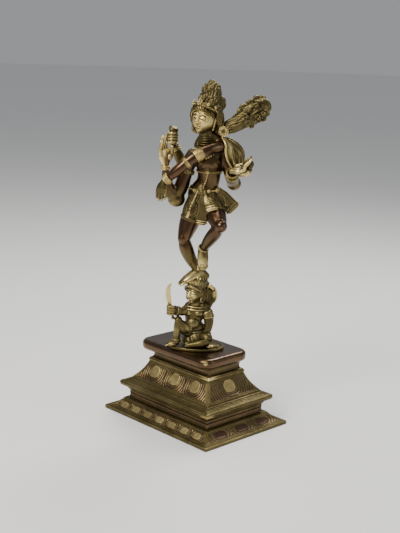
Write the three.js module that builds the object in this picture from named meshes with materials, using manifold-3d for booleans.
// A small cast brass figure of dancing Shiva with four arms. He stands on the head of a seated
// dwarf, on an oval plate, and the plate lies on a stepped oblong plinth with lotus petals.
// Millimetres, +Z up. The origin is the middle of the plinth's underside, and the plinth's front
// looks along -Y. The figure group is turned on it.

import * as THREE from 'three';
import { mergeVertices } from 'three/addons/utils/BufferGeometryUtils.js';
import Module from 'manifold-3d';

const wasm = await Module();
wasm.setup();

// Driving dimensions of the figure group: its height from the plate's underside to the top of the
// headdress, and its place and turn on the plinth
const figureHeight = 279;
const figureTurn = 37;
const figureAside = 4;
const figureAhead = 6;

// Driving dimensions of the plinth. A run is how far a profile steps in or out, a rise how far up.
// The slab lies a little off the middle of the tiers, as in the photo.
const plinthLength = 160;
const plinthWidth = 120;
const flangeRise = 3.4;
const flangeLip = 1.4;
const apronRun = 14;
const apronRise = 10;
const apronHollow = 1.5;
const recessRun = 4;
const recessRise = 7.7;
const coveRun = 6.6;
const coveRise = 6;
const mouldingRun = 1.3;
const mouldingRise = 5.5;
const cavettoRun = 8.4;
const cavettoRise = 3.5;
const slopeRun = 14;
const slopeRise = 20.5;
const slopeHollow = 1.5;
const filletRise = 3.9;
const neckRun = 3.5;
const neckRise = 9.5;
const slabOverhang = 10.5;
const slabThickness = 11;
const slabCorner = 13;
const slabAside = -2.2;
const slabAhead = 2.3;
const slabEdge = 4.5;

// Petals of the plinth: how many on each side, and how far their swellings stand out
const apronPetalsLong = 7;
const apronPetalsShort = 3;
const slopePetalsLong = 3;
const slopePetalsShort = 1;
const petalRelief = 0.9;
const petalMargin = 1.6;
const petalStretch = 1.5;

// Colours and finish of the two castings
const patina = { color: 0x57482c, metalness: 0.85, roughness: 0.45 };
const brass = { color: 0x8a6a42, metalness: 0.9, roughness: 0.38 };

const vector = (x, y, z) => new THREE.Vector3(x, y, z);
const RIGHT = vector(1, 0, 0);
const BACK = vector(0, 1, 0);
const UP = vector(0, 0, 1);

// Solids
// A three.js geometry as a closed solid: seams are merged and faces without area are dropped.
function solid(geometry) {
  const bare = geometry.clone();
  bare.deleteAttribute('normal');
  bare.deleteAttribute('uv');
  const merged = mergeVertices(bare, 1e-4);
  const kept = [];
  for (let i = 0; i < merged.index.count; i += 3) {
    const [a, b, c] = [0, 1, 2].map((k) => merged.index.getX(i + k));
    if (a !== b && b !== c && c !== a) kept.push(a, b, c);
  }
  return new wasm.Manifold(new wasm.Mesh({
    numProp: 3,
    vertProperties: merged.attributes.position.array,
    triVerts: new Uint32Array(kept),
  }));
}

function join(geometries) {
  return geometries.map(solid).reduce((whole, piece) => whole.add(piece));
}

function mesh(name, whole, finish) {
  const { vertProperties, triVerts } = whole.getMesh();
  const geometry = new THREE.BufferGeometry();
  geometry.setAttribute('position', new THREE.BufferAttribute(vertProperties, 3));
  geometry.setIndex(new THREE.BufferAttribute(triVerts, 1));
  geometry.computeVertexNormals();
  const made = new THREE.Mesh(geometry, new THREE.MeshStandardMaterial(finish));
  made.name = name;
  return made;
}

// The plinth
// Every level of the plinth is the line along the middle of its length, grown by the same
// distance all round: a profile turned in four steps, with its two ends moved apart.
const ridge = (plinthLength - plinthWidth) / 2;
const plinthHeight = flangeRise + apronRise + recessRise + coveRise + mouldingRise + cavettoRise
  + slopeRise + filletRise + neckRise + slabThickness;

function oblong(profile) {
  const points = profile.map((p) => new THREE.Vector2(p.x * Math.SQRT2, p.y));
  const geometry = new THREE.LatheGeometry(points, 4, Math.PI / 4).rotateX(Math.PI / 2);
  const place = geometry.attributes.position;
  for (let i = 0; i < place.count; i += 1) {
    const corner = Math.floor(i / points.length) % 4;
    place.setX(i, place.getX(i) + (corner < 2 ? ridge : -ridge));
  }
  return geometry;
}

// The plinth's profile up into the slab, the two sloping faces that carry petals, and how far the
// neck stands from the ridge
function tiers() {
  const path = new THREE.Path();
  path.moveTo(0, 0);
  path.lineTo(plinthWidth / 2, 0);
  const move = (run, rise, hollow = 0) => {
    const from = path.currentPoint.clone();
    const to = new THREE.Vector2(from.x + run, from.y + rise);
    if (hollow) {
      const inward = new THREE.Vector2(-rise, run).setLength(2 * hollow);
      const bend = from.clone().lerp(to, 0.5).add(inward);
      path.quadraticCurveTo(bend.x, bend.y, to.x, to.y);
    } else {
      path.lineTo(to.x, to.y);
    }
    return { from, to, hollow };
  };
  move(0, flangeRise);
  move(-flangeLip, 0);
  const apron = move(-apronRun, apronRise, apronHollow);
  move(-recessRun, 0);
  move(0, recessRise);
  move(coveRun, coveRise, coveRise / 5);
  move(mouldingRun, mouldingRun);
  move(0, mouldingRise - mouldingRun);
  move(-cavettoRun, cavettoRise, cavettoRise / 3);
  const slope = move(-slopeRun, slopeRise, slopeHollow);
  move(0, filletRise);
  const neck = move(-neckRun, neckRise / 3, neckRun / 4);
  path.lineTo(neck.to.x, plinthHeight - slabThickness / 2);
  path.lineTo(0, plinthHeight - slabThickness / 2);
  return { points: path.getPoints(2), apron, slope, neckHalf: neck.to.x };
}

function slab(neckHalf) {
  const deep = neckHalf + slabOverhang;
  const wide = deep + ridge;
  const corner = Math.min(slabCorner, deep);
  const outline = new THREE.Shape();
  [[1, -1, -90], [1, 1, 0], [-1, 1, 90], [-1, -1, 180]].forEach(([x, y, start]) => {
    const turn = THREE.MathUtils.degToRad(start);
    outline.absarc(x * (wide - corner), y * (deep - corner), corner, turn, turn + Math.PI / 2);
  });
  const edge = Math.min(slabEdge, slabThickness / 2.2);
  const geometry = new THREE.ExtrudeGeometry(outline, {
    depth: slabThickness - 2 * edge,
    bevelThickness: edge,
    bevelSize: edge,
    bevelOffset: -edge,
    bevelSegments: 2,
    curveSegments: 4,
  });
  return geometry.translate(slabAside, -slabAhead, plinthHeight - slabThickness + edge);
}

// A row of low swellings, one to a petal, along each of the four sides of a sloping face
function petals({ from, to, hollow }, longCount, shortCount) {
  const middle = from.clone().lerp(to, 0.5);
  const halfHigh = from.distanceTo(to) / 2 - petalMargin;
  const sides = [
    { out: vector(0, -1, 0), reach: middle.x, span: ridge + to.x, count: longCount },
    { out: vector(0, 1, 0), reach: middle.x, span: ridge + to.x, count: longCount },
    { out: vector(1, 0, 0), reach: ridge + middle.x, span: to.x, count: shortCount },
    { out: vector(-1, 0, 0), reach: ridge + middle.x, span: to.x, count: shortCount },
  ];
  return sides.flatMap(({ out, reach, span, count }) => {
    const halfWide = Math.min(span / count - petalMargin, petalStretch * halfHigh);
    const along = UP.clone().cross(out);
    const climb = out.clone().multiplyScalar(to.x - from.x).setZ(to.y - from.y).normalize();
    const facing = along.clone().cross(climb);
    return Array.from({ length: count }, (_, i) => {
      const centre = out.clone().multiplyScalar(reach).addScaledVector(UP, middle.y)
        .addScaledVector(along, span * ((2 * i + 1) / count - 1))
        .addScaledVector(facing, -hollow - petalRelief);
      return new THREE.SphereGeometry(1, 8, 4).rotateX(Math.PI / 2)
        .scale(halfWide, halfHigh, 2 * petalRelief)
        .applyMatrix4(new THREE.Matrix4().makeBasis(along, climb, facing))
        .translate(centre.x, centre.y, centre.z);
    });
  });
}

function plinth() {
  const { points, apron, slope, neckHalf } = tiers();
  return join([
    oblong(points),
    slab(neckHalf),
    ...petals(apron, apronPetalsLong, apronPetalsShort),
    ...petals(slope, slopePetalsLong, slopePetalsShort),
  ]);
}

// Forms of the figure. It faces -Y in its own frame. Its places and sizes are thousandths of the
// figure's height, from the middle of the plate's underside, and this is one thousandth.
const share = figureHeight / 1000;

// The section of a limb at t, between 0 at its first station and 1 at its last. A station is
// [x, y, z, half width, half depth], and the width lies along `across`.
function section(stations, t, across) {
  const line = new THREE.CatmullRomCurve3(stations.map(([x, y, z]) => vector(x, y, z)));
  const girth = new THREE.CatmullRomCurve3(stations.map(([, , , w, d = w]) => vector(w, d, 0)));
  const tangent = line.getTangent(t);
  const side = across.clone().addScaledVector(tangent, -across.dot(tangent)).normalize();
  const front = tangent.clone().cross(side);
  return { centre: line.getPoint(t), size: girth.getPoint(t), tangent, side, front };
}

// A limb through its stations. Its ends close like an egg, and fold(angle, t) can pleat its skin.
function limb(stations, options = {}) {
  const { around = 6, along = 4, across = RIGHT, blunt = 0.35, fold = () => 1 } = options;
  const geometry = new THREE.SphereGeometry(1, around, along);
  const place = geometry.attributes.position;
  const row = around + 1;
  for (let ring = 0; ring <= along; ring += 1) {
    const turn = (Math.PI * ring) / along;
    const t = (1 - Math.cos(turn)) / 2;
    const { centre, size, side, front } = section(stations, t, across);
    const cap = ring % along === 0 ? 0 : Math.sin(turn) ** blunt;
    for (let i = 0; i < row; i += 1) {
      const angle = (2 * Math.PI * (i % around)) / around;
      const reach = cap * fold(angle, t);
      const point = centre.clone()
        .addScaledVector(side, -Math.cos(angle) * reach * size.x)
        .addScaledVector(front, Math.sin(angle) * reach * size.y);
      place.setXYZ(ring * row + i, point.x, point.y, point.z);
    }
  }
  return geometry.scale(share, share, share);
}

// A collar round a limb, at t along it
function band(stations, t, thick, { across = RIGHT, proud = 1.15, sides = 7 } = {}) {
  const { centre, size, tangent, side, front } = section(stations, t, across);
  return new THREE.CylinderGeometry(1, 1, thick, sides).rotateX(Math.PI / 2)
    .scale(size.x * proud, size.y * proud, 1)
    .applyMatrix4(new THREE.Matrix4().makeBasis(side, front, tangent))
    .translate(centre.x, centre.y, centre.z).scale(share, share, share);
}

// An egg-shaped lump, with its half sizes along X, Y and Z
function lump([x, y, z], [wide, deep, high], around = 5, along = 3) {
  return new THREE.SphereGeometry(1, around, along).rotateX(Math.PI / 2)
    .scale(wide, deep, high).translate(x, y, z).scale(share, share, share);
}

// A hand: a flat palm, four fingers and a thumb. `reach` points from the wrist to the finger tips,
// and the palm looks along `palm`. `curl` bends the fingers towards it.
function hand(wrist, reach, palm, { curl = 0.15, thumb = 1 } = {}) {
  const size = reach.length();
  const ahead = reach.clone().normalize();
  const facing = palm.clone().addScaledVector(ahead, -palm.dot(ahead)).normalize();
  const side = ahead.clone().cross(facing).multiplyScalar(thumb);
  const station = (forth, aside, out, wide, deep = wide) => {
    const place = vector(...wrist).addScaledVector(ahead, forth * size)
      .addScaledVector(side, aside * size).addScaledVector(facing, out * size);
    return [place.x, place.y, place.z, wide * size, deep * size];
  };
  const groove = (angle, t) => (t < 0.5 ? 1 : 1 + 0.2 * Math.cos(6 * angle));
  return [
    limb([station(-0.12, 0, 0, 0.15, 0.13), station(0.25, 0, 0, 0.26, 0.14),
      station(0.6, 0, 0.2 * curl, 0.25, 0.12), station(1, 0, curl, 0.16, 0.08)],
    { across: side, around: 12, blunt: 0.25, fold: groove }),
    limb([station(0.1, 0.12, 0, 0.09), station(0.34, 0.29, 0.05, 0.08),
      station(0.56, 0.33, 0.09, 0.05)], { across: side, around: 5, along: 3 }),
  ];
}

// Brows, eyes, nose, lips, chin and ears round a head's centre. `size` is half the face's height,
// and `turn` is how far the face looks to the figure's left, in degrees. Only a fine face has brows
// and ears.
function face([x, y, z], size, turn, fine) {
  const at = (across, out, up) => [across * size, -out * size, up * size];
  const bridge = [
    [...at(0, 0.62, 0.28), 0.08 * size, 0.2 * size],
    [...at(0, 0.74, 0), 0.11 * size, 0.24 * size],
    [...at(0, 0.78, -0.16), 0.19 * size, 0.24 * size],
    [...at(0, 0.64, -0.26), 0.14 * size, 0.2 * size],
  ];
  const pieces = [
    limb(bridge, { around: 5 }),
    lump(at(0, 0.62, -0.48), [0.24 * size, 0.15 * size, 0.1 * size], 6),
    lump(at(0, 0.5, -0.8), [0.24 * size, 0.2 * size, 0.18 * size]),
  ];
  [-1, 1].forEach((s) => {
    pieces.push(lump(at(0.34 * s, 0.6, 0.12), [0.21 * size, 0.18 * size, 0.1 * size]));
    if (fine) {
      pieces.push(limb([
        [...at(0.04 * s, 0.7, 0.27), 0.08 * size],
        [...at(0.36 * s, 0.62, 0.36), 0.1 * size],
        [...at(0.66 * s, 0.4, 0.26), 0.08 * size],
      ], { across: UP, around: 4, along: 3 }));
      pieces.push(lump(at(0.8 * s, -0.05, -0.05), [0.12 * size, 0.2 * size, 0.36 * size]));
    }
  });
  return pieces.map((piece) => piece.rotateZ(THREE.MathUtils.degToRad(turn))
    .translate(x * share, y * share, z * share));
}

// Shiva
const trunk = [[12, 0, 506, 44, 38], [11, 0, 548, 56, 46], [13, 0, 590, 54, 43], [26, 0, 624, 43, 36],
  [32, 0, 660, 43, 37], [31, -2, 704, 51, 41], [29, 0, 744, 56, 34], [19, 4, 780, 33, 26]];
const throat = [[20, 4, 762, 28], [19, -1, 790, 25], [16, -4, 822, 25]];
const skull = [[8, -24, 806, 15], [9, -17, 826, 32], [14, -8, 861, 43, 45], [16, -3, 895, 43, 45],
  [18, 0, 922, 26, 28]];

const standingThigh = [[-6, 0, 556, 44], [-31, -10, 487, 39], [-44, -24, 443, 30], [-53, -36, 405, 25]];
const standingShin = [[-52, -34, 430, 24], [-42, -28, 386, 27], [-24, -15, 340, 22], [-2, -6, 302, 17],
  [10, 0, 270, 17]];
const standingFoot = [[40, 8, 262, 14, 13], [6, 0, 276, 19, 19], [-28, -24, 268, 19, 13],
  [-66, -48, 246, 15, 8]];
const raisedThigh = [[34, 6, 556, 44], [64, -36, 520, 39], [82, -72, 496, 32], [92, -100, 478, 25]];
const raisedShin = [[98, -98, 496, 23], [74, -82, 460, 26], [50, -62, 427, 23], [30, -42, 397, 18],
  [18, -30, 378, 17]];
const raisedFoot = [[18, -16, 400, 16, 16], [23, -32, 378, 20, 19], [26, -40, 346, 22, 14],
  [28, -48, 300, 19, 9]];

const crossingArm = [[98, 6, 766, 27], [53, -44, 761, 23], [7, -74, 742, 20], [-36, -90, 710, 19],
  [-74, -98, 675, 17], [-122, -100, 632, 12]];
const blessingUpper = [[-24, 0, 744, 27], [-46, -6, 682, 25], [-66, -10, 618, 27], [-80, -12, 576, 30]];
const blessingFore = [[-90, -12, 568, 31], [-112, -28, 602, 24], [-121, -42, 650, 16],
  [-120, -54, 704, 11]];
const drumUpper = [[-28, 8, 740, 25], [-52, 42, 697, 22], [-64, 64, 648, 20]];
const drumFore = [[-56, 64, 646, 21], [-87, 48, 706, 20], [-112, 32, 758, 15]];
const flameUpper = [[62, 10, 772, 27], [95, 8, 702, 24], [116, 4, 649, 25], [123, 4, 616, 22]];
const flameFore = [[118, 16, 630, 28], [121, -36, 659, 22], [127, -90, 690, 13]];

function limbs() {
  return [
    ...[standingThigh, standingShin, raisedThigh, raisedShin]
      .map((stations) => limb(stations, { around: 8 })),
    ...[blessingUpper, blessingFore, drumUpper, drumFore, flameUpper, flameFore]
      .map((stations) => limb(stations, { around: 7, across: BACK })),
    limb(crossingArm, { around: 7, along: 6, across: BACK }),
    limb(standingFoot, { around: 7, along: 5, across: vector(0.55, -0.83, 0) }),
    limb(raisedFoot, { around: 7, along: 5 }),
    ...hand([-117, -100, 637], vector(-18, -3, -72), vector(0.3, 1, 0), { curl: 0.16, thumb: -1 }),
    ...hand([-120, -54, 694], vector(-16, -8, 102), vector(0.8, -0.6, 0), { curl: 0.08 }),
    ...hand([-112, 33, 752], vector(-8, -6, 62), vector(0.1, -1, 0), { curl: 0.35 }),
    ...hand([126, -88, 688], vector(80, 4, 10), vector(0, -0.3, 1), { curl: 0.15, thumb: -1 }),
  ];
}

// Bracelets, anklets, belt, chest band and necklaces
function ornaments() {
  return [
    band(crossingArm, 0.4, 8, { across: BACK }),
    band(crossingArm, 0.95, 8, { across: BACK, proud: 1.3 }),
    band(blessingFore, 0.88, 9, { across: BACK, proud: 1.3 }),
    band(drumFore, 0.85, 7, { across: BACK, proud: 1.25 }),
    band(flameFore, 0.8, 8, { across: BACK, proud: 1.2 }),
    band(flameFore, 0.62, 8, { across: BACK }),
    band(standingShin, 0.82, 7, { proud: 1.2 }),
    band(raisedShin, 0.86, 7, { proud: 1.2 }),
    band(throat, 0.3, 9, { proud: 1.35, sides: 10 }),
    band(trunk, 0.53, 10, { proud: 1.08, sides: 10 }),
    band(trunk, 0.28, 13, { proud: 1.12, sides: 10 }),
    lump([13, -50, 600], [15, 9, 12]),
    lump([18, -38, 742], [9, 8, 20]),
    lump([32, -40, 658], [8, 6, 8]),
  ];
}

// The pleated short cloth: a wrap round the hips, a sleeve round each thigh, a fan over the raised
// thigh, a flap and a tassel in front, the end of the sash, and the cape on the left shoulder
function clothing() {
  const pleat = (count, depth) => (angle, t) => 1 + depth * t * Math.cos(count * angle);
  const sleeve = (stations) => limb(stations, { around: 12, blunt: 0.2, fold: pleat(6, 0.09) });
  return [
    limb([[13, 0, 616, 50, 41], [13, 0, 586, 57, 48], [12, 0, 540, 58, 50]],
      { around: 16, blunt: 0.2, fold: pleat(8, 0.08) }),
    sleeve([[-2, 0, 580, 40], [-20, -6, 530, 45, 43], [-35, -15, 480, 42, 40]]),
    sleeve([[32, 0, 580, 40], [54, -24, 538, 45, 42], [72, -54, 508, 39, 36]]),
    limb([[40, -44, 590, 12, 6], [54, -66, 556, 22, 8], [64, -88, 522, 26, 5]],
      { around: 10, blunt: 0.2, fold: pleat(5, 0.14) }),
    limb([[19, -46, 606, 12, 8], [21, -56, 548, 19, 9], [16, -52, 476, 22, 5]],
      { around: 10, blunt: 0.25, fold: pleat(5, 0.14) }),
    limb([[2, -46, 600, 5], [-18, -54, 552, 7], [-36, -50, 500, 9]], { around: 5 }),
    lump([70, -14, 606], [14, 12, 12]),
    limb([[64, -16, 606, 12, 7], [92, -20, 582, 16, 7], [115, -18, 552, 20, 7], [138, -14, 528, 27, 6]],
      { around: 10, across: vector(0.7, 0, 0.7), blunt: 0.25, fold: pleat(5, 0.1) }),
    limb([[80, 4, 792, 18, 16], [112, 10, 756, 33, 20], [127, 8, 722, 36, 20], [142, 4, 680, 20, 14]],
      { around: 14, blunt: 0.3, fold: pleat(7, 0.1) }),
  ];
}

// The headdress: a tapering crown of locks with a band, jewels and side locks, the ear rings, and
// the bundle of locks that flies out to his left
function hair() {
  const lock = (count, depth) => (angle) => 1 + depth * Math.cos(count * angle);
  const flow = [[84, 10, 826, 16, 21], [135, 16, 854, 17, 30], [170, 20, 881, 18, 35],
    [202, 22, 906, 18, 35], [238, 22, 924, 12, 22]];
  return [
    limb([[22, 0, 884, 55, 53], [27, 3, 910, 50, 49], [30, 5, 935, 41, 41], [31, 6, 958, 36, 36],
      [31, 7, 978, 32, 31], [30, 8, 1000, 16, 15]],
    { around: 14, along: 6, blunt: 0.28, fold: lock(7, 0.06) }),
    band([[16, -1, 880, 47, 49], [20, 0, 930, 47, 49]], 0.35, 9, { proud: 1.1, sides: 10 }),
    lump([10, -50, 912], [14, 9, 16]),
    lump([-10, -30, 930], [12, 12, 15]),
    lump([54, -24, 930], [13, 12, 16]),
    lump([68, 4, 922], [14, 14, 24]),
    lump([20, -34, 954], [13, 10, 15]),
    lump([60, 4, 978], [11, 9, 12]),
    limb([[58, -6, 902, 14, 20], [68, -2, 870, 17, 24], [72, 6, 836, 14, 18], [76, 10, 806, 9, 12]],
      { around: 8, along: 5, fold: lock(4, 0.12) }),
    limb([[-28, 6, 900, 12, 20], [-34, 12, 868, 13, 22], [-28, 20, 830, 12, 18], [-24, 24, 804, 8, 12]],
      { around: 8, along: 5, fold: lock(4, 0.12) }),
    lump([84, 8, 812], [19, 8, 19], 4, 6),
    lump([-26, 22, 808], [15, 7, 15], 4, 6),
    limb(flow, { around: 12, along: 7, across: BACK, blunt: 0.3, fold: (angle, t) => (
      1 + 0.12 * Math.cos(6 * angle) + 0.08 * Math.sin(22 * t)) }),
    limb([[196, 18, 928, 16], [222, 16, 944, 12], [228, 16, 934, 6]], { across: BACK, along: 3 }),
    limb([[206, 18, 886, 14], [230, 18, 894, 10], [234, 18, 884, 6]], { across: BACK, along: 3 }),
  ];
}

// What the two rear hands hold: the drum and the small flame
function attributes() {
  const drum = [[0, -30], [22, -26], [22, -19], [9, 0], [22, 19], [22, 26], [0, 30]]
    .map(([out, up]) => new THREE.Vector2(out * share, up * share));
  return [
    new THREE.LatheGeometry(drum, 10).rotateX(Math.PI / 2).rotateY(0.2)
      .translate(-117 * share, 22 * share, 800 * share),
    limb([[186, -82, 694, 8], [188, -82, 714, 12], [190, -82, 730, 7], [196, -82, 746, 3]]),
  ];
}

// The dwarf: seated, with his face turned to his right, a sword in his right hand, his left arm
// down at his side, his right knee up and his left leg folded before him
const dwarfTrunk = [[2, 0, 4, 50, 40], [-3, -2, 48, 45, 36], [-8, -6, 94, 32, 27], [-6, -8, 142, 39, 27],
  [-4, -6, 178, 24, 18]];
const dwarfSkull = [[-18, -26, 174, 15], [-16, -22, 193, 25], [-11, -14, 218, 32], [-3, -6, 246, 33],
  [5, -1, 272, 25]];
const dwarfSwordArm = [[-26, -8, 158, 17], [-46, -30, 141, 15], [-80, -54, 150, 12]];
const dwarfRestArm = [[26, -4, 162, 16], [46, -6, 124, 17], [50, -14, 87, 15], [38, -26, 34, 11]];

function dwarf() {
  return [
    limb(dwarfTrunk, { around: 8 }),
    limb([[-4, -6, 154, 26], [-8, -10, 196, 24]], { along: 3 }),
    limb(dwarfSkull, { around: 8, along: 5 }),
    ...face([-14, -18, 214], 36, -42, false),
    limb(dwarfSwordArm, { across: UP }),
    limb(dwarfRestArm, { across: BACK }),
    lump([-82, -56, 150], [18, 15, 17]),
    limb([[-12, -12, 52, 28], [-42, -40, 84, 23], [-58, -56, 112, 14]], { across: BACK }),
    limb([[-57, -56, 118, 15], [-61, -57, 78, 12], [-64, -58, 18, 12]], { across: BACK }),
    limb([[-56, -50, 22, 13], [-76, -62, 20, 13, 10], [-100, -70, 14, 10, 7]], { across: vector(0.4, -0.9, 0) }),
    limb([[16, -10, 44, 28], [48, -36, 46, 22], [58, -52, 36, 17]], { across: UP }),
    limb([[58, -48, 36, 18], [34, -64, 32, 16], [2, -70, 26, 12], [-28, -72, 20, 11]], { across: UP }),
    limb([[16, 14, 274, 24, 15], [26, 16, 236, 26, 18], [32, 14, 196, 24, 16], [30, 10, 164, 15, 12]]),
    lump([-14, -42, 84], [12, 8, 12]),
    band(dwarfTrunk, 0.84, 9, { proud: 1.14 }),
    band(dwarfTrunk, 0.44, 9, { proud: 1.14 }),
    band(dwarfRestArm, 0.32, 7, { across: BACK }),
    band(dwarfSwordArm, 0.76, 6, { across: UP, proud: 1.25 }),
  ];
}

// The sword, and the cobra that rears behind the dwarf with its tail along the plate
function swordAndCobra() {
  return [
    limb([[-80, -52, 122, 6], [-84, -55, 150, 5], [-89, -58, 172, 6]], { around: 5, along: 3 }),
    limb([[-78, -58, 166, 5], [-102, -60, 176, 5]], { around: 5, along: 3, across: BACK }),
    limb([[-89, -58, 166, 8, 4], [-97, -61, 196, 12, 4], [-98, -64, 224, 10, 4], [-84, -67, 258, 3, 2]],
      { around: 5, along: 6, blunt: 0.3 }),
    limb([[34, 14, 120, 12], [48, 20, 160, 13, 9], [56, 22, 198, 22, 8], [48, 18, 236, 12, 8]],
      { around: 8, along: 5 }),
    limb([[58, 18, 220, 13, 11], [46, 10, 238, 12, 9], [34, 8, 226, 7, 6]], { across: BACK }),
    limb([[40, -20, 16, 8], [78, -20, 14, 6], [108, -12, 13, 8]], { across: UP, around: 6 }),
  ];
}

// The oval plate under the dwarf, with a raised rim
function plate() {
  const [wide, deep, thick] = [110, 71, 12];
  const profile = [[0, 0], [1, 0], [1, 0.6], [0.94, 1], [0.85, 0.75], [0, 0.75]]
    .map(([out, up]) => new THREE.Vector2(out, up * thick));
  return new THREE.LatheGeometry(profile, 18).rotateX(Math.PI / 2).scale(wide, deep, 1)
    .translate(1, -10, 0).scale(share, share, share);
}

function figure() {
  return join([
    limb(trunk, { around: 10, along: 8 }),
    limb(throat, { around: 8, along: 3 }),
    limb(skull, { around: 10, along: 6 }),
    ...face([10, -8, 862], 55, -27, true),
    ...limbs(),
    ...ornaments(),
    ...clothing(),
    ...hair(),
    ...attributes(),
    ...dwarf(),
    ...swordAndCobra(),
    plate(),
  ]);
}

const statue = mesh('shiva_on_dwarf', figure(), brass);
statue.position.set(figureAside, -figureAhead, plinthHeight);
statue.rotation.z = THREE.MathUtils.degToRad(figureTurn);
const object = new THREE.Group();
object.add(mesh('plinth', plinth(), patina), statue);

export default object;
